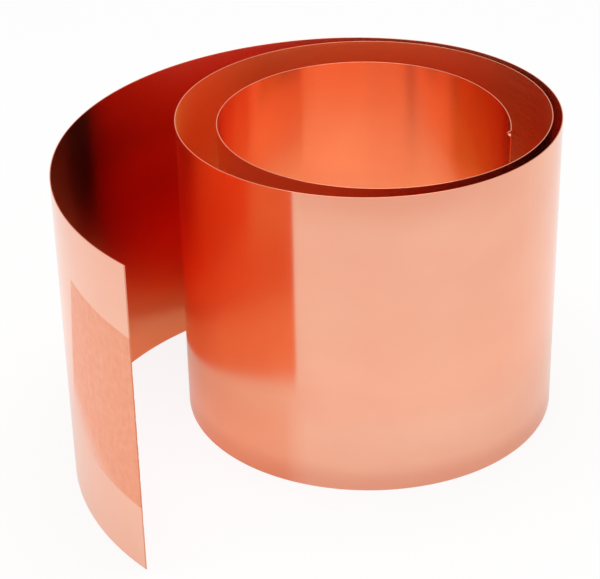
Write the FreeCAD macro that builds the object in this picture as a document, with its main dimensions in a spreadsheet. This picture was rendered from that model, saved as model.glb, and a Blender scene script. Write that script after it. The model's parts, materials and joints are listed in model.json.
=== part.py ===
import FreeCAD, Part
import math
import os
import Sketcher

# A coil of copper strip that stands on its long edge.
#
# The strip is one length of thin sheet, wound about two and a half turns and then
# left to spring open, so that its outer end stands clear of the coil as a tail.
# It is laid out from its inner end outwards as a chain of tangent arcs, one for
# each section of the strip, and it turns counter-clockwise seen from above.
#
# The coil's middle sections stand still and meet face to face. Every section of
# the tail and of the inner wrap is a body of its own that bends about the upright
# line where it meets its neighbour: its end is rounded about that line, and the
# neighbour's end stands back from it by the bend clearance.
#
# Origin: middle of the coil's plan box, on the surface that the strip stands on.

SIZES = (
    # alias, value in millimetres or degrees, what it is
    ("strip_width", 100.0, "width of the strip, which is the height of the coil"),
    ("strip_thickness", 0.3, "thickness of the sheet"),
    ("section_length", 40.0, "length of one section along the strip"),
    ("inner_radius", 42.5, "tightest bend of the inner wrap, at mid-thickness"),
    ("inner_flare", 11.0, "extra radius of the inner end section, which springs straighter"),
    ("coil_step", 14.0, "growth of the radius from the inner wrap to the coil"),
    ("wrap_growth", 0.3, "growth of the radius from each section of the coil to the next"),
    ("tail_step", 29.0, "growth of the radius from the coil to the tail"),
    ("tail_growth", 1.5, "growth of the radius from each section of the tail to the next"),
    ("inner_heading", 80.0, "direction in which the strip leaves its inner end"),
    ("bend_clearance", 0.1, "gap between a rounded end and the end that it faces"),
)

# The sections by name, from the strip's inner end outwards. The inner wrap and the
# tail are free to bend, and the coil between them stands still.
INNER_WRAP = ["inner_end"] + [f"inner_wrap_{place}" for place in range(1, 9)]
COIL = [f"coil_wrap_{place}" for place in range(1, 11)]
TAIL = [f"tail_{place}" for place in range(1, 6)] + ["free_end"]
STRIP = INNER_WRAP + COIL + TAIL
FIRST_COIL = STRIP.index(COIL[0])
LAST_COIL = STRIP.index(COIL[-1])
LAST_TIGHT = STRIP.index("inner_wrap_4")    # the wrap growth starts after this section


def make_sheet(document):
    sheet = document.addObject("Spreadsheet::Sheet", "Sizes")
    for row, (alias, value, meaning) in enumerate(SIZES, start=1):
        sheet.set(f"A{row}", alias)
        sheet.set(f"B{row}", str(value))
        sheet.set(f"C{row}", meaning)
        sheet.setAlias(f"B{row}", alias)
    document.recompute()
    return sheet


def smooth(share):
    """Eased rise from 0 to 1."""
    share = min(max(share, 0.0), 1.0)
    return share * share * (3.0 - 2.0 * share)


def radius_shares(number):
    """How much of each driving size goes into the radius of one section.

    The tail's radius is reached in two sections, and grows from there on.
    """
    into_tail = number - LAST_COIL
    shares = {
        "inner_radius": 1.0,
        "inner_flare": 1.0 if number == 0 else 0.0,
        "coil_step": smooth(number / FIRST_COIL),
        "wrap_growth": max(number - LAST_TIGHT, 0),
        "tail_step": smooth(into_tail / 2),
        "tail_growth": max(into_tail - 2, 0),
    }
    return {alias: share for alias, share in shares.items() if share}


def radius_value(sheet, number):
    return sum(share * getattr(sheet, alias)
               for alias, share in radius_shares(number).items())


def radius_formula(number):
    return " + ".join(f"Sizes.{alias} * {share:.6f}"
                      for alias, share in radius_shares(number).items())


def lay_out(sheet):
    """Centre, turn at the inner side, radius and sweep of every section, in plan."""
    heading = math.radians(sheet.inner_heading)
    place = FreeCAD.Vector(0, 0, 0)
    sections = []
    for number in range(len(STRIP)):
        radius = radius_value(sheet, number)
        sweep = sheet.section_length / radius
        turn = heading - math.pi / 2
        centre = place - FreeCAD.Vector(math.cos(turn), math.sin(turn), 0) * radius
        heading += sweep
        turn_out = turn + sweep
        place = centre + FreeCAD.Vector(math.cos(turn_out), math.sin(turn_out), 0) * radius
        sections.append((centre, turn, radius, sweep))
    return sections


def plan_middle(sheet, sections):
    """Middle of the box that the whole strip fills in plan."""
    box = FreeCAD.BoundBox()
    for centre, turn, radius, sweep in sections:
        first_side = math.ceil(turn / (math.pi / 2))
        last_side = math.floor((turn + sweep) / (math.pi / 2))
        sides = [side * math.pi / 2 for side in range(first_side, last_side + 1)]
        for angle in [turn, turn + sweep] + sides:
            outward = FreeCAD.Vector(math.cos(angle), math.sin(angle), 0)
            box.add(centre + outward * (radius + sheet.strip_thickness / 2))
            box.add(centre + outward * (radius - sheet.strip_thickness / 2))
    return FreeCAD.Vector(box.Center.x, box.Center.y, 0)


def end_shapes(number):
    """Shape of a section's inner and outer ends: cut, round or back."""
    inner, outer = "cut", "cut"
    if number < FIRST_COIL:
        outer = "round"
    if number > LAST_COIL:
        inner = "round"
    if 0 < number <= FIRST_COIL:
        inner = "back"
    if LAST_COIL <= number < len(STRIP) - 1:
        outer = "back"
    return inner, outer


def end_point(radius, angle):
    return FreeCAD.Vector(radius * math.cos(angle), radius * math.sin(angle), 0)


def arc_between(radius, start, end):
    circle = Part.Circle(FreeCAD.Vector(0, 0, 0), FreeCAD.Vector(0, 0, 1), radius)
    return Part.ArcOfCircle(circle, start, end)


def draw_end(sketch, shape, angle, name, formula, outer_arc, inner_arc, radii, arc_end):
    """Close one end of the profile, on a radial line at the given angle."""
    outer_point = end_point(radii[0], angle)
    inner_point = end_point(radii[1], angle)
    centre = FreeCAD.Vector(0, 0, 0)
    radial = sketch.addGeometry(Part.LineSegment(centre, outer_point), True)
    sketch.addConstraint(Sketcher.Constraint("Coincident", radial, 1, -1, 1))
    sketch.addConstraint(Sketcher.Constraint("Coincident", radial, 2, outer_arc, arc_end))
    sketch.addConstraint(Sketcher.Constraint("PointOnObject", inner_arc, arc_end, radial))
    if formula is None:
        sketch.addConstraint(Sketcher.Constraint("Horizontal", radial))
    else:
        datum = sketch.addConstraint(Sketcher.Constraint("Angle", radial, angle))
        sketch.renameConstraint(datum, name)
        sketch.setExpression(f"Constraints.{name}", formula)
    if shape == "round":
        middle = (outer_point + inner_point) / 2
        half = (outer_point - inner_point).Length / 2
        circle = Part.Circle(middle, FreeCAD.Vector(0, 0, 1), half)
        away = angle + math.pi if arc_end == 1 else angle
        edge = sketch.addGeometry(Part.ArcOfCircle(circle, away, away + math.pi), False)
        sketch.addConstraint(Sketcher.Constraint("Symmetric", edge, 1, edge, 2, edge, 3))
        ends = (inner_arc, outer_arc) if arc_end == 1 else (outer_arc, inner_arc)
    else:
        edge = sketch.addGeometry(Part.LineSegment(inner_point, outer_point), False)
        ends = (inner_arc, outer_arc)
    sketch.addConstraint(Sketcher.Constraint("Coincident", edge, 1, ends[0], arc_end))
    sketch.addConstraint(Sketcher.Constraint("Coincident", edge, 2, ends[1], arc_end))


def add_section(document, sheet, number, section, middle):
    """One section of the strip: its plan profile padded by the strip's width."""
    centre, turn, radius, sweep = section
    name = STRIP[number]
    inner_shape, outer_shape = end_shapes(number)
    formula = radius_formula(number)
    half = sheet.strip_thickness / 2
    set_back = (half + sheet.bend_clearance) / radius
    set_back_formula = ("(Sizes.strip_thickness / 2 + Sizes.bend_clearance)"
                        f" / ({formula}) * 180 / pi")
    sweep_formula = f"Sizes.section_length / ({formula}) * 180 / pi"
    start, start_formula = 0.0, None
    end, end_formula = sweep, sweep_formula
    if inner_shape == "back":
        start, start_formula = set_back, set_back_formula
    if outer_shape == "back":
        end, end_formula = sweep - set_back, f"{sweep_formula} - {set_back_formula}"

    body = document.addObject("PartDesign::Body", name)
    body.Label = name
    sketch = body.newObject("Sketcher::SketchObject", f"{name}_profile")
    plan = [plane for plane in body.Origin.OriginFeatures if plane.Role == "XY_Plane"][0]
    sketch.AttachmentSupport = [(plan, "")]
    sketch.MapMode = "FlatFace"

    radii = (radius + half, radius - half)
    arcs = []
    for arc_radius, label, sign in ((radii[0], "outer_face", "+"), (radii[1], "inner_face", "-")):
        arc = sketch.addGeometry(arc_between(arc_radius, start, end), False)
        sketch.addConstraint(Sketcher.Constraint("Coincident", arc, 3, -1, 1))
        datum = sketch.addConstraint(Sketcher.Constraint("Radius", arc, arc_radius))
        sketch.renameConstraint(datum, label)
        sketch.setExpression(f"Constraints.{label}",
                             f"{formula} {sign} Sizes.strip_thickness / 2")
        arcs.append(arc)
    draw_end(sketch, inner_shape, start, "inner_side", start_formula, *arcs, radii, 1)
    draw_end(sketch, outer_shape, end, "outer_side", end_formula, *arcs, radii, 2)

    pad = body.newObject("PartDesign::Pad", f"{name}_pad")
    pad.Profile = sketch
    pad.setExpression("Length", "Sizes.strip_width")
    turned = FreeCAD.Rotation(FreeCAD.Vector(0, 0, 1), math.degrees(turn))
    body.Placement = FreeCAD.Placement(centre - middle, turned)
    return body


def check(document, bodies):
    """Stop if any object failed, or if a section isn't one closed solid."""
    for item in document.Objects:
        if "Invalid" in item.State or "Error" in item.State:
            raise RuntimeError(f"{item.Name} failed: {item.State}")
    for body in bodies:
        shape = body.Shape
        if shape.isNull() or not shape.isValid() or len(shape.Solids) != 1:
            raise RuntimeError(f"{body.Label} isn't one valid solid")


document = FreeCAD.newDocument("copper_strip_coil")
sizes = make_sheet(document)
layout = lay_out(sizes)
origin = plan_middle(sizes, layout)
bodies = [add_section(document, sizes, number, section, origin)
          for number, section in enumerate(layout)]
document.recompute()
check(document, bodies)

os.makedirs("parts", exist_ok=True)
for body in bodies:
    body.Shape.exportStep(f"parts/{body.Label}.step")
    print(f"{body.Label}: {body.Shape.Volume:.1f} mm3")
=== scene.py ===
import math

import bpy
import numpy as np
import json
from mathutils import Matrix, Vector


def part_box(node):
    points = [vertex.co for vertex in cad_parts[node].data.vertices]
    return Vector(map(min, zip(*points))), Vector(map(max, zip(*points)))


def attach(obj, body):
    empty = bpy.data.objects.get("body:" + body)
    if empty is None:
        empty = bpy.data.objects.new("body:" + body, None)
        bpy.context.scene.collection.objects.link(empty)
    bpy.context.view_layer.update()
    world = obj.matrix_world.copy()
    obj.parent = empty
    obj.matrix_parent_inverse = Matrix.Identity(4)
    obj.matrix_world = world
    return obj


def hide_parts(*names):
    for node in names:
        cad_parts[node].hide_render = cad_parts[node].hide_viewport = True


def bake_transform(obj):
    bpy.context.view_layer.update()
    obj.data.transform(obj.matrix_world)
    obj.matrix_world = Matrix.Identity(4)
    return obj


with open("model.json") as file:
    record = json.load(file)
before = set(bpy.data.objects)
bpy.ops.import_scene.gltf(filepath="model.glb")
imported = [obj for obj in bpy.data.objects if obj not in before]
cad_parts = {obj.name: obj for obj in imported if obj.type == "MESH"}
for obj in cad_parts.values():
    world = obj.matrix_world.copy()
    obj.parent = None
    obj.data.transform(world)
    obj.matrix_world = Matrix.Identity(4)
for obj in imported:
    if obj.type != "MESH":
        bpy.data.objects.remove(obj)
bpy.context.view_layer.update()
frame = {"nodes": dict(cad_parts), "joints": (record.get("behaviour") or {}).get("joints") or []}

INNER = ["inner_end"] + [f"inner_wrap_{n}" for n in range(1, 9)]
COIL = [f"coil_wrap_{n}" for n in range(1, 11)]
TAIL = [f"tail_{n}" for n in range(1, 6)] + ["free_end"]
STRIP = INNER + COIL + TAIL

EDGE_ROUND = 0.00005                  # rounding of the slit edge
HAIR = 0.00002                        # the strip is this much thinner than its solids, so it stays inside them
FACET = math.radians(0.25)            # the bend is cut this fine
SEAM_FACET = math.radians(0.02)       # and finer at a seam, so that light runs over it without a mark
ROUNDED_OFF = math.radians(20)        # facets that meet at less than this are shaded as one curve
UPRIGHT, WALL = 0.01, 2e-5            # a wall's face leans less than the first and is larger than the second, in m2
TOUCHING = 1e-6                       # corners closer than this are one corner


def corners(section):
    """The plan position of each corner of a CAD section."""
    return np.array([v.co[:2] for v in frame["nodes"][section].data.vertices], float)


def bend_centre(section):
    """The upright line that a section is bent about: where the lines square to its walls cross."""
    pull, goal = np.zeros((2, 2)), np.zeros(2)
    for face in frame["nodes"][section].data.polygons:
        if abs(face.normal.z) < UPRIGHT and face.area > WALL:
            across = np.array(face.normal[:2], float)
            across /= np.linalg.norm(across)
            share = (np.eye(2) - np.outer(across, across)) * face.area
            pull += share
            goal += share @ np.array(face.center[:2], float)
    return np.linalg.solve(pull, goal)


CENTRE = {s: bend_centre(s) for s in STRIP}
REACH = {s: np.linalg.norm(corners(s) - CENTRE[s], axis=1) for s in STRIP}
RADIUS = {s: (REACH[s].max() + REACH[s].min()) / 2 for s in STRIP}
THICKNESS = np.mean([REACH[s].max() - REACH[s].min() for s in STRIP]) - HAIR
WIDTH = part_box("coil_wrap_5")[1].z


def way(section, point):
    """The direction of a point from a section's bend centre, as an angle."""
    return math.atan2(point[1] - CENTRE[section][1], point[0] - CENTRE[section][0])


def on_bend(section, angle):
    """The point of a section's bend in that direction from its centre, at mid-thickness."""
    return CENTRE[section] + RADIUS[section] * np.array([math.cos(angle), math.sin(angle)])


def meeting(before, after):
    """Where two neighbouring sections meet: on their hinge, or in the face that they share in the coil."""
    hinge = (after if after in TAIL else before) + "_bend"
    for joint in frame["joints"]:
        if joint["name"] == hinge:
            return np.array(joint["pos_m"][:2])
    near = np.linalg.norm(corners(before)[:, None] - corners(after)[None], axis=2).min(axis=1) < TOUCHING
    return np.unique(corners(before)[near].round(7), axis=0).mean(axis=0)


def cut_end(section, joined, side):
    """The middle of a strip end's cut, on the far side of the section from where it is joined."""
    away = [(way(section, p) - way(section, joined)) * side % (2 * math.pi) for p in corners(section)]
    return on_bend(section, way(section, joined) + side * max(a for a in away if a < math.pi))


MEETS = [meeting(before, after) for before, after in zip(STRIP, STRIP[1:])]
START = dict(zip(STRIP, [cut_end("inner_end", MEETS[0], -1)] + MEETS))
END = dict(zip(STRIP, MEETS + [cut_end("free_end", MEETS[-1], 1)]))
HALF = {s: (way(s, END[s]) - way(s, START[s])) % (2 * math.pi) / 2 for s in STRIP}
MIDDLE = {s: on_bend(s, way(s, START[s]) + HALF[s]) for s in STRIP}
SECTION = 2 * HALF["coil_wrap_5"] * RADIUS["coil_wrap_5"]


def how_far(section):
    """Metres along the strip to the middle of a section."""
    return (STRIP.index(section) + 0.5) * SECTION


def wind(name, first, start, bends):
    """A length of the strip. Its cross-section is stood up at start and wound about each bend centre in turn;
    bends is a list of (section, angle), and first is how far along the whole strip the length begins."""
    out = way(bends[0][0], start)
    bpy.ops.object.select_all(action="DESELECT")
    bpy.ops.mesh.primitive_plane_add(size=1, location=(start[0], start[1], WIDTH / 2), rotation=(math.pi / 2, 0, out))
    piece = bpy.context.object
    piece.name = piece.data.name = name
    piece.scale = (THICKNESS, WIDTH, 1)
    bpy.ops.object.transform_apply(location=True, rotation=True, scale=True)
    bpy.ops.object.mode_set(mode="EDIT")
    bpy.ops.mesh.select_all(action="SELECT")
    bpy.ops.mesh.bevel(offset=EDGE_ROUND, segments=2, affect="VERTICES")
    bpy.ops.mesh.select_all(action="SELECT")
    bpy.ops.mesh.delete(type="ONLY_FACE")
    bpy.ops.object.mode_set(mode="OBJECT")
    outline = [((v.co.x - start[0]) * math.cos(out) + (v.co.y - start[1]) * math.sin(out), v.co.z)
               for v in piece.data.vertices]
    along = [first]
    # the first and last facet are the fine ones, taken off the bend beside them
    turns = [(bends[0][0], SEAM_FACET)] + [list(b) for b in bends] + [(bends[-1][0], SEAM_FACET)]
    turns[1][1] -= SEAM_FACET
    turns[-2][1] -= SEAM_FACET
    bpy.ops.object.mode_set(mode="EDIT")
    bpy.ops.mesh.select_all(action="SELECT")
    for section, angle in turns:
        steps = math.ceil(angle / FACET)
        bpy.ops.mesh.spin(steps=steps, angle=-angle, center=(*CENTRE[section], 0), axis=(0, 0, 1))
        along += [along[-1] + RADIUS[section] * angle / steps * (n + 1) for n in range(steps)]
    bpy.ops.mesh.select_all(action="SELECT")
    bpy.ops.mesh.fill_holes(sides=0)
    bpy.ops.mesh.select_all(action="SELECT")
    bpy.ops.mesh.normals_make_consistent(inside=False)
    bpy.ops.object.mode_set(mode="OBJECT")
    bpy.ops.object.shade_smooth_by_angle(angle=ROUNDED_OFF)
    lay_flat(piece, outline, along)
    return piece


def lay_flat(piece, outline, along):
    """The flat layout that the finish is drawn on. u is metres along the strip. v is the way round its
    cross-section from the middle of the bottom edge, so v below a half is the outside and above it the inside.
    A cut end lies flat beside the strip's own end."""
    ring = len(outline)
    order = sorted(range(ring), key=lambda n: math.atan2(outline[n][0], WIDTH / 2 - outline[n][1]) % (2 * math.pi))
    steps = [math.dist(outline[a], outline[b]) for a, b in zip(order, order[1:] + order[:1])]
    round_it = dict(zip(order, (outline[order[0]][0] + np.cumsum([0] + steps[:-1])) / sum(steps)))
    flat = piece.data.uv_layers.new(name="flat strip").data
    for face in piece.data.polygons:
        ends = {v // ring for v in face.vertices}
        v_here = {v: round_it[v % ring] for v in face.vertices}
        for loop in face.loop_indices:
            v = piece.data.loops[loop].vertex_index
            if len(ends) == 1:
                flat[loop].uv = (along[v // ring] + outline[v % ring][0], outline[v % ring][1] / sum(steps))
            else:
                past_the_join = max(v_here.values()) - min(v_here.values()) > 0.5 and v_here[v] < 0.5
                flat[loop].uv = (along[v // ring], v_here[v] + (1 if past_the_join else 0))


ROUND_THE_STRIP = 0.2                 # metres up the outside and down the inside, which v counts as 1
TOP_EDGE, TURN_OVER = 0.5, 0.0005     # v of the top slit edge, and how far from it one face gives way to the other
RAW_EDGE, RAW_EDGE_FADE = 0.0009, 0.0003   # the raw slit edge reaches this far in v, and fades within this
PAD_FADE, PAD_SIDE_FADE = 0.002, 0.02      # softness in v of the rubbed patch: at its bottom and top, and its side
LINE_DEPTH = 1e-7                     # a rolling line is a ten-thousandth of a millimetre deep


def rolled_copper(name, outside, inside, rubbed):
    """Bright rolled copper: fine rolling lines run along the strip, so it is nearly a mirror along its length
    and satin across it, with faint clouding from handling. outside and inside give the tones of each face. The
    first list of tones covers the face. Each later one fades in over a part of the height, between two values
    of v, and where a third pair follows, it fades in along the strip too. A tone is (metres along, red, green,
    blue, roughness). rubbed is where a pad has dulled the outside: its start along the strip, the bottom and
    top of it there and at the free end, how far its side leans, and the slope and limits of its cut corner."""
    # The tones of outside and inside are partly the copper's own and partly painted reflections, painted shade and
    # painted light.
    made = bpy.data.materials.new(name)
    made.use_nodes = True
    nodes, link = made.node_tree.nodes, made.node_tree.links.new
    shader = nodes["Principled BSDF"]
    shader.inputs["Metallic"].default_value = 1
    shader.inputs["Anisotropic"].default_value = 0.65
    shader.inputs["Anisotropic Rotation"].default_value = 0.25
    layout, apart = nodes.new("ShaderNodeUVMap"), nodes.new("ShaderNodeSeparateXYZ")
    layout.uv_map = "flat strip"
    link(layout.outputs["UV"], apart.inputs[0])
    along, across = apart.outputs["X"], apart.outputs["Y"]

    def noise(fine_along, fine_across, detail):
        scaled = nodes.new("ShaderNodeMapping")
        scaled.inputs["Scale"].default_value = (fine_along, fine_across, 1)
        link(layout.outputs["UV"], scaled.inputs["Vector"])
        found = nodes.new("ShaderNodeTexNoise")
        found.noise_dimensions = "2D"
        found.inputs["Scale"].default_value = 1
        found.inputs["Detail"].default_value = detail
        link(scaled.outputs["Vector"], found.inputs["Vector"])
        return found.outputs["Fac"]

    def fitted(value, low, high):
        ranged = nodes.new("ShaderNodeMapRange")
        ranged.inputs["From Min"].default_value, ranged.inputs["From Max"].default_value = 0.25, 0.75
        ranged.inputs["To Min"].default_value, ranged.inputs["To Max"].default_value = low, high
        link(value, ranged.inputs["Value"])
        return ranged.outputs["Result"]

    def ramp(value, off, on):
        ranged = nodes.new("ShaderNodeMapRange")
        ranged.interpolation_type = "SMOOTHSTEP"
        ranged.inputs["From Min"].default_value, ranged.inputs["From Max"].default_value = off, on
        link(value, ranged.inputs["Value"])
        return ranged.outputs["Result"]

    def sloped(slope):
        line = nodes.new("ShaderNodeMath")
        line.operation = "MULTIPLY_ADD"
        link(along, line.inputs[0])
        line.inputs[1].default_value = slope
        link(across, line.inputs[2])
        return line.outputs[0]

    def product(a, b):
        times = nodes.new("ShaderNodeMath")
        times.operation = "MULTIPLY"
        link(a, times.inputs[0])
        link(b, times.inputs[1])
        return times.outputs[0]

    def mixed(amount, a, b, way_of_mixing="MIX"):
        mix = nodes.new("ShaderNodeMix")
        mix.data_type = "FLOAT" if getattr(a, "type", "") == "VALUE" else "RGBA"
        if mix.data_type == "RGBA":
            mix.blend_type = way_of_mixing
        factor = next(i for i in mix.inputs if i.name == "Factor" and i.enabled)
        both = [i for i in mix.inputs if i.name in "AB" and i.enabled]
        for value, socket in zip((amount, a, b), [factor] + both):
            if isinstance(value, (int, float, tuple)):
                socket.default_value = value
            else:
                link(value, socket)
        return next(o for o in mix.outputs if o.enabled)

    # tints a colour where the mask is: the handling clouds, and the painted shade along the foot
    def stain_and_painted_shade(clean, where, stain):
        return mixed(1.0, clean, mixed(where, (1, 1, 1, 1), stain), "MULTIPLY")

    def toned(stops):
        band = nodes.new("ShaderNodeValToRGB")
        link(along, band.inputs["Fac"])
        points = band.color_ramp.elements
        for point, (metres, *finish) in zip(points, (stops[0], stops[-1])):
            point.position, point.color = metres, finish
        for metres, *finish in stops[1:-1]:
            points.new(metres).color = finish
        return band.outputs["Color"], band.outputs["Alpha"]

    def tones_and_painted_light(whole, *bands):
        face = toned(whole)
        for height, stops, *length in bands:
            level = ramp(across, *height)
            for off, on in length:
                level = product(level, ramp(along, off, on))
            face = [mixed(level, *both) for both in zip(face, toned(stops))]
        return face

    # the two faces, with their tones and their painted reflections, shade and light, clouded and lined
    lines, clouds, mottle = noise(18, 420, 4), noise(30, 9, 3), noise(420, 84, 3)
    is_inside = ramp(across, TOP_EDGE - TURN_OVER, TOP_EDGE + TURN_OVER)
    colour, rough = [mixed(is_inside, *both) for both in zip(tones_and_painted_light(*outside), tones_and_painted_light(*inside))]
    colour = stain_and_painted_shade(colour, fitted(clouds, 0, 1), (0.975, 0.925, 0.93, 1))
    rough = product(rough, fitted(lines, 0.94, 1.06))

    # the raw slit edge
    raw_edge = product(ramp(across, TOP_EDGE - RAW_EDGE, TOP_EDGE - RAW_EDGE + RAW_EDGE_FADE),
                       ramp(across, TOP_EDGE + RAW_EDGE, TOP_EDGE + RAW_EDGE - RAW_EDGE_FADE))
    colour = mixed(raw_edge, colour, (0.80, 0.26, 0.14, 1))

    # the patch that a pad has rubbed dull, with its grain
    start, (low, high), (low_end, high_end), lean, (cut, cut_off, cut_on) = rubbed
    low_slope = (low - low_end) / ROUND_THE_STRIP / (1 - start)
    high_slope = (high - high_end) / ROUND_THE_STRIP / (1 - start)
    bottom, top = low / ROUND_THE_STRIP + low_slope * start, high / ROUND_THE_STRIP + high_slope * start
    side = high / ROUND_THE_STRIP - start / lean / ROUND_THE_STRIP
    beside = ramp(sloped(-1 / lean / ROUND_THE_STRIP), side + PAD_SIDE_FADE, side - PAD_SIDE_FADE)
    above = ramp(sloped(low_slope), bottom - PAD_FADE, bottom + PAD_FADE)
    below = ramp(sloped(high_slope), top + PAD_FADE, top - PAD_FADE)
    patch = product(product(beside, ramp(sloped(cut), cut_off, cut_on)), product(above, below))
    grain = mixed(0.35, mottle, noise(1400, 14, 3))
    colour = mixed(patch, colour, mixed(fitted(grain, 0, 1), (0.96, 0.43, 0.275, 1), (0.905, 0.37, 0.22, 1)))
    rough = mixed(patch, rough, fitted(grain, 0.34, 0.44))

    # painted shade along the foot: darker towards the bottom edge, where the strip stands on the floor, except on the
    # tail's last 0.1 m; and the darker cut at the free end
    colour = stain_and_painted_shade(colour, product(ramp(across, 0.05, 0.012), ramp(along, 0.94, 0.9)), (0.92, 0.82, 0.8, 1))
    colour = stain_and_painted_shade(colour, ramp(along, 0.9996, 0.9999), (0.8, 0.6, 0.5, 1))

    link(colour, shader.inputs["Base Color"])
    link(rough, shader.inputs["Roughness"])
    bump = nodes.new("ShaderNodeBump")
    bump.inputs["Distance"].default_value = 1
    bump.inputs["Strength"].default_value = 1
    link(fitted(lines, 0, LINE_DEPTH), bump.inputs["Height"])
    link(bump.outputs["Normal"], shader.inputs["Normal"])
    tangent = nodes.new("ShaderNodeTangent")
    tangent.direction_type = "UV_MAP"
    tangent.uv_map = "flat strip"
    link(tangent.outputs["Tangent"], shader.inputs["Tangent"])
    return made


# The tones of the sheet, from the inner end at 0 to the free end at 1 m, with the coil from 0.36 to 0.76 m.
# They are partly uneven tarnish and rolling, and partly painted reflections, painted shade and painted light,
# where the bright metal mirrors its surroundings and the shaded gaps between the turns.
# Painted reflection and painted shade: inside the coil, from 0.31 to 0.70 m, the deep red and darker tones stand for
# the narrow gaps between the turns that the metal mirrors, darkest at 0.67 m; inside the tail, from 0.86 to 0.905 m,
# the darker tones stand for the shaded gap between the tail and the coil.
INSIDE = [(0, 0.95, 0.5, 0.31, 0.15), (0.06, 1, 0.58, 0.38, 0.15), (0.155, 1, 0.57, 0.37, 0.15),
          (0.165, 1, 0.57, 0.37, 0.24), (0.215, 1, 0.55, 0.35, 0.24), (0.225, 1, 0.55, 0.35, 0.15),
          (0.27, 1, 0.52, 0.33, 0.15), (0.31, 0.92, 0.42, 0.2, 0.24), (0.36, 1, 0.36, 0.14, 0.30),
          (0.46, 1, 0.39, 0.12, 0.34), (0.49, 1, 0.42, 0.08, 0.42), (0.52, 1, 0.48, 0.24, 0.40),
          (0.57, 1, 0.46, 0.22, 0.36), (0.61, 0.95, 0.34, 0.13, 0.24), (0.65, 0.8, 0.26, 0.11, 0.2),
          (0.67, 0.45, 0.17, 0.09, 0.2), (0.70, 0.6, 0.24, 0.13, 0.26), (0.73, 0.935, 0.464, 0.30, 0.26),
          (0.79, 0.85, 0.41, 0.25, 0.22), (0.83, 0.82, 0.39, 0.24, 0.2), (0.86, 0.66, 0.27, 0.15, 0.145),
          (0.88, 0.66, 0.29, 0.17, 0.145), (0.905, 0.8, 0.39, 0.2, 0.145), (0.94, 0.97, 0.47, 0.26, 0.145),
          (1, 0.97, 0.5, 0.3, 0.145)]
# Painted reflection: the deeper red low inside the tail, from 0.85 to 0.88 m, stands for the shaded floor between the
# tail and the coil that it mirrors.
INSIDE_FOOT = [(0, 1, 0.58, 0.38, 0.15), (0.155, 1, 0.57, 0.38, 0.15), (0.165, 1, 0.57, 0.38, 0.24),
               (0.215, 1, 0.55, 0.36, 0.24), (0.225, 1, 0.54, 0.35, 0.15), (0.27, 1, 0.53, 0.35, 0.15),
               (0.31, 0.935, 0.464, 0.28, 0.15), (0.80, 0.935, 0.45, 0.28, 0.145), (0.85, 1, 0.33, 0.14, 0.2),
               (0.88, 1, 0.33, 0.14, 0.2), (0.92, 1, 0.4, 0.2, 0.16)]
# The inside's top part: the inner end's last 0.05 m is a duller band of the metal, and its darkening towards the end
# is painted shade; the dark stripe at 0.15 m is a painted reflection of the dark gap beside the inner end.
INSIDE_TOP = ([(0, 0.36, 0.14, 0.04, 0.15), (0.015, 0.45, 0.18, 0.05, 0.15), (0.03, 0.68, 0.34, 0.09, 0.15),
               (0.0485, 0.82, 0.42, 0.17, 0.15), (0.0515, 1, 0.59, 0.4, 0.15), (0.12, 1, 0.57, 0.37, 0.15),
               (0.142, 0.8, 0.42, 0.25, 0.15), (0.15, 0.5, 0.24, 0.13, 0.15), (0.158, 0.8, 0.42, 0.26, 0.15)]
              + [tone for tone in INSIDE if 0.16 < tone[0] < 0.75]
              + [(0.83, 0.97, 0.47, 0.29, 0.2), (0.86, 0.82, 0.4, 0.22, 0.145), (0.885, 0.64, 0.29, 0.16, 0.145)]
              + [tone for tone in INSIDE if 0.9 < tone[0]])
# Painted light: the paler rim near the tail's top edge stands for the light that falls into the tail from above.
TAIL_RIM_PAINTED_LIGHT = [(0.76, 1, 0.62, 0.43, 0.2), (0.80, 1, 0.64, 0.47, 0.2), (0.845, 1, 0.62, 0.45, 0.2),
            (0.865, 0.88, 0.48, 0.32, 0.145), (0.90, 0.88, 0.46, 0.3, 0.145), (0.94, 0.97, 0.49, 0.32, 0.145)]
# Painted reflection and painted shade: from 0 to 0.40 m, where the outside lies within the coil, the deep red and
# darker tones stand for the narrow gaps between the turns that it mirrors. The paler tail end, from 0.94 m, is
# painted light.
OUTSIDE = [(0, 1, 0.38, 0.13, 0.33), (0.135, 1, 0.38, 0.13, 0.33), (0.15, 0.85, 0.34, 0.1, 0.30),
           (0.17, 0.9, 0.38, 0.14, 0.32), (0.19, 1, 0.46, 0.18, 0.42), (0.22, 1, 0.48, 0.2, 0.46),
           (0.26, 0.95, 0.29, 0.09, 0.33), (0.30, 0.85, 0.2, 0.06, 0.33), (0.33, 1, 0.38, 0.15, 0.30),
           (0.40, 1, 0.38, 0.15, 0.30), (0.44, 0.93, 0.46, 0.315, 0.145), (0.48, 0.97, 0.46, 0.27, 0.145),
           (0.505, 0.97, 0.46, 0.27, 0.145), (0.525, 0.92, 0.46, 0.29, 0.145), (0.55, 0.92, 0.49, 0.32, 0.145),
           (0.564, 0.92, 0.49, 0.32, 0.145), (0.568, 0.93, 0.46, 0.315, 0.145), (0.635, 0.93, 0.46, 0.315, 0.145),
           (0.655, 0.95, 0.495, 0.345, 0.145), (0.68, 0.95, 0.495, 0.345, 0.145),
           (0.72, 0.93, 0.46, 0.315, 0.145), (0.90, 0.93, 0.46, 0.315, 0.145),
           (0.94, 0.965, 0.53, 0.39, 0.145), (1, 0.965, 0.53, 0.385, 0.145)]
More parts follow.
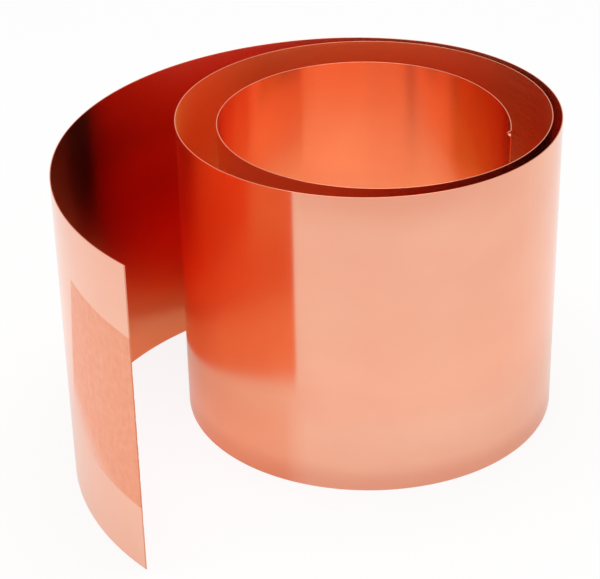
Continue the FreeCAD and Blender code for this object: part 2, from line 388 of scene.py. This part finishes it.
# Painted reflection: low on the coil's front, the deeper tone up to 0.564 m and its sharp edge there stand for the
# shaded floor between the tail and the coil that the metal mirrors; the paler tail end from 0.94 m is painted light.
OUTSIDE_FOOT = [(0.44, 0.93, 0.46, 0.315, 0.145), (0.49, 0.94, 0.42, 0.245, 0.145),
                (0.564, 0.9, 0.405, 0.25, 0.145), (0.568, 0.93, 0.51, 0.36, 0.145),
                (0.90, 0.93, 0.51, 0.36, 0.145), (0.94, 1, 0.59, 0.44, 0.145)]
OUTSIDE_TOP = [(0.44, 0.93, 0.46, 0.315, 0.145), (0.49, 0.97, 0.46, 0.27, 0.145),
               (0.565, 0.93, 0.46, 0.315, 0.145), (0.57, 0.865, 0.38, 0.25, 0.145),
               (0.61, 0.865, 0.39, 0.26, 0.145), (0.64, 0.93, 0.46, 0.315, 0.145),
               (0.655, 0.97, 0.52, 0.355, 0.145), (0.70, 0.93, 0.46, 0.315, 0.145),
               (0.90, 0.93, 0.46, 0.315, 0.145), (0.94, 0.965, 0.52, 0.38, 0.145)]
# The outside's foot is below 34 mm and its top above 86 mm. The inside's foot and top part at 60 mm, and the
# tail's paler rim, which is painted light, is above 79 mm.
COPPER = rolled_copper("rolled copper",
                       outside=[OUTSIDE, ((0.17, 0.09), OUTSIDE_FOOT), ((0.43, 0.5), OUTSIDE_TOP)],
                       inside=[INSIDE, ((0.7, 0.875), INSIDE_FOOT), ((0.7, 0.63), INSIDE_TOP),
                               ((0.605, 0.5), TAIL_RIM_PAINTED_LIGHT, (0.755, 0.775))],
                       rubbed=(0.9665, (0.025, 0.081), (0.0215, 0.0775), 0.2, (3.93, 3.92, 4.02)))
coil = wind("coil", how_far("coil_wrap_1"), MIDDLE["coil_wrap_1"],
            [("coil_wrap_1", HALF["coil_wrap_1"])] + [(s, 2 * HALF[s]) for s in COIL[1:-1]]
            + [("coil_wrap_10", HALF["coil_wrap_10"])])
coil.data.materials.append(COPPER)
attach(coil, "coil")
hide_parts(*COIL)

# ---------------------------------------------------------------------------
# The inner wrap: the 360 mm of the same strip inside the coil, which springs out or winds
# tighter by bending a little everywhere. Each length bends between two neighbouring sections,
# and the top corner of its cut end has been knocked inwards.


def bending(name, before, after):
    """A length of the strip from the middle of one section to the middle of the next, over their hinge."""
    piece = wind(name, how_far(before), MIDDLE[before], [(before, HALF[before]), (after, HALF[after])])
    piece.data.materials.append(COPPER)
    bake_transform(piece)
    return piece


for before, after in zip(INNER, INNER[1:] + COIL[:1]):
    piece = bending("inner_bend_at_" + before, before, after)
    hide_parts(before)

CORNER_ROWS = (0.0004, 0.0008, 0.0012, 0.0016, 0.002, 0.003)     # below the top edge
CORNER_HIGH, CORNER_WIDE = 0.0006, 0.0004                        # what counts as the corner itself
KNOCKED_IN, KNOCKED_DOWN, KNOCKED_AROUND = 0.001, 0.0003, 0.0013

inner_cut = wind("inner_cut_end", 0, START["inner_end"], [("inner_end", HALF["inner_end"])])
inner_cut.data.materials.append(COPPER)


def crossed(piece, heights):
    """Cuts a piece across at these heights, so that its cut end can be shaped."""
    bpy.ops.object.select_all(action="DESELECT")
    piece.select_set(True)
    bpy.context.view_layer.objects.active = piece
    bpy.ops.object.mode_set(mode="EDIT")
    for height in heights:
        bpy.ops.mesh.select_all(action="SELECT")
        bpy.ops.mesh.bisect(plane_co=(0, 0, height), plane_no=(0, 0, 1))
    bpy.ops.object.mode_set(mode="OBJECT")


def picked(piece, wanted):
    """Selects a piece's vertices by place, and leaves it ready to move them."""
    bpy.ops.object.mode_set(mode="EDIT")
    bpy.ops.mesh.select_mode(type="VERT")
    bpy.ops.mesh.select_all(action="DESELECT")
    bpy.ops.object.mode_set(mode="OBJECT")
    for v in piece.data.vertices:
        v.select = wanted(v.co)
    bpy.ops.object.mode_set(mode="EDIT")


crossed(inner_cut, [WIDTH - below for below in CORNER_ROWS])
tip = START["inner_end"]
inward = (CENTRE["inner_end"] - tip) / RADIUS["inner_end"]
picked(inner_cut, lambda p: p.z > WIDTH - CORNER_HIGH and math.dist(p[:2], tip) < CORNER_WIDE)
bpy.ops.transform.translate(value=(*(inward * KNOCKED_IN), -KNOCKED_DOWN), use_proportional_edit=True,
                            proportional_edit_falloff="SMOOTH", proportional_size=KNOCKED_AROUND)
bpy.ops.object.mode_set(mode="OBJECT")
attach(inner_cut, "inner_end")

# ---------------------------------------------------------------------------
# The tail: the last 240 mm of the strip, which stands away from the coil and bends everywhere
# as it is pulled out or wound up. It is cut square at its free end, with small nicks that the
# shears left beside the rubbed patch.
for before, after in zip(COIL[-1:] + TAIL, TAIL):
    piece = bending("tail_bend_at_" + after, before, after)
    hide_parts(after)

ROWS = 80                             # the cut is divided into this many rows
NICKED = range(12, 56)                # the rows that have nicks
NICK = 0.00004                        # a quarter of the deepest nick
AT_THE_CUT = 0.0003                   # what counts as the cut itself

free_cut = wind("free_cut_end", how_far("free_end"), MIDDLE["free_end"], [("free_end", HALF["free_end"])])
free_cut.data.materials.append(COPPER)
crossed(free_cut, [WIDTH * n / ROWS for n in range(1, ROWS)])
tip = END["free_end"]
out = (tip - CENTRE["free_end"]) / RADIUS["free_end"]
for n in NICKED:
    # two beats that never fall together make the nicks uneven
    nick = (math.sin(2.1 * n) + math.sin(5.3 * n + 1)) ** 2 * NICK
    picked(free_cut, lambda p: abs(p.z - WIDTH * n / ROWS) < 1e-5 and math.dist(p[:2], tip) < AT_THE_CUT)
    bpy.ops.transform.translate(value=(out[1] * nick, -out[0] * nick, 0))
    bpy.ops.object.mode_set(mode="OBJECT")
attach(free_cut, "free_end")

# ---------------------------------------------------------------------------
# The floor: a plain pale table top, wider than the view. Part of it shows as plain white, and
# the rest of it keeps the strip's soft shadow.
PALE = (0.93, 0.93, 0.93, 1)
WHITE_TO_THE_EYE, WHITE_IN_THE_METAL = 0.85, 0.23       # how much of it shows as plain white

bpy.ops.object.select_all(action="DESELECT")
bpy.ops.mesh.primitive_plane_add(size=6, location=(0, 0, 0))
floor = bpy.context.object
floor.name = "floor"
pale = bpy.data.materials.new("pale table")
pale.use_nodes = True
nodes, link = pale.node_tree.nodes, pale.node_tree.links.new
table = nodes["Principled BSDF"]
table.inputs["Base Color"].default_value = PALE
table.inputs["Roughness"].default_value = 0.8
table.inputs["Specular IOR Level"].default_value = 0
seen, glow, both = nodes.new("ShaderNodeLightPath"), nodes.new("ShaderNodeEmission"), nodes.new("ShaderNodeMixShader")
bare, share = nodes.new("ShaderNodeMath"), nodes.new("ShaderNodeMath")
bare.operation, share.operation = "MULTIPLY", "MULTIPLY_ADD"
bare.inputs[1].default_value = WHITE_TO_THE_EYE
share.inputs[1].default_value = WHITE_IN_THE_METAL
link(seen.outputs["Is Camera Ray"], bare.inputs[0])
link(seen.outputs["Is Glossy Ray"], share.inputs[0])
link(bare.outputs[0], share.inputs[2])
link(share.outputs[0], both.inputs[0])
link(table.outputs[0], both.inputs[1])
link(glow.outputs[0], both.inputs[2])
link(both.outputs[0], nodes["Material Output"].inputs["Surface"])
floor.data.materials.append(pale)

# ---------------------------------------------------------------------------
# The light: a white studio all round at a plain level, which the metal mirrors, and a round
# softbox over the coil, which lights the floor inside and around it. Light may bounce often,
# as it has to between the turns.
world = bpy.data.worlds.new("studio")
bpy.context.scene.world = world
world.use_nodes = True
nodes, link = world.node_tree.nodes, world.node_tree.links.new
nodes.clear()
seen = nodes.new("ShaderNodeLightPath")
either = nodes.new("ShaderNodeMath")
either.operation = "MAXIMUM"
link(seen.outputs["Is Camera Ray"], either.inputs[0])
link(seen.outputs["Is Glossy Ray"], either.inputs[1])
soft, white, pick, sky = (nodes.new("ShaderNodeBackground"), nodes.new("ShaderNodeBackground"),
                          nodes.new("ShaderNodeMixShader"), nodes.new("ShaderNodeOutputWorld"))
for backdrop, strength in ((soft, 0.35), (white, 1)):
    backdrop.inputs["Color"].default_value = (1, 1, 1, 1)
    backdrop.inputs["Strength"].default_value = strength
link(either.outputs[0], pick.inputs[0])
link(soft.outputs[0], pick.inputs[1])
link(white.outputs[0], pick.inputs[2])
link(pick.outputs[0], sky.inputs["Surface"])

bpy.ops.object.light_add(type="AREA", location=(0, 0, 1.2))
lamp = bpy.context.object
lamp.name = "overhead softbox"
lamp.data.shape = "DISK"
lamp.data.size = 1.2
lamp.data.energy = 12.4
bpy.context.scene.cycles.max_bounces = 24
bpy.context.scene.cycles.glossy_bounces = 14

# ---------------------------------------------------------------------------
# The camera: half a metre in front of the coil and a quarter of a metre above its top, looking
# down at it through a long lens.
from mathutils import Matrix

STANDS_AT = (-0.00592, -0.52192, 0.33842)
TILT, ROLL = math.radians(61.05), math.radians(-1.35)

bpy.ops.object.camera_add(location=STANDS_AT)
camera = bpy.context.object
camera.matrix_world = (Matrix.Translation(camera.location) @ Matrix.Rotation(TILT, 4, "X")
                       @ Matrix.Rotation(ROLL, 4, "Z"))
camera.data.sensor_width = 36
camera.data.lens = 114.25
camera.data.shift_x = 0.0063
camera.data.shift_y = -0.0108
camera.data.clip_start, camera.data.clip_end = 0.01, 20
bpy.context.scene.camera = camera
bpy.context.scene.view_settings.view_transform = "Standard"

# ---------------------------------------------------------------------------
# The size: the boxes of the solids as they were loaded and of the strip as it now stands.
import json
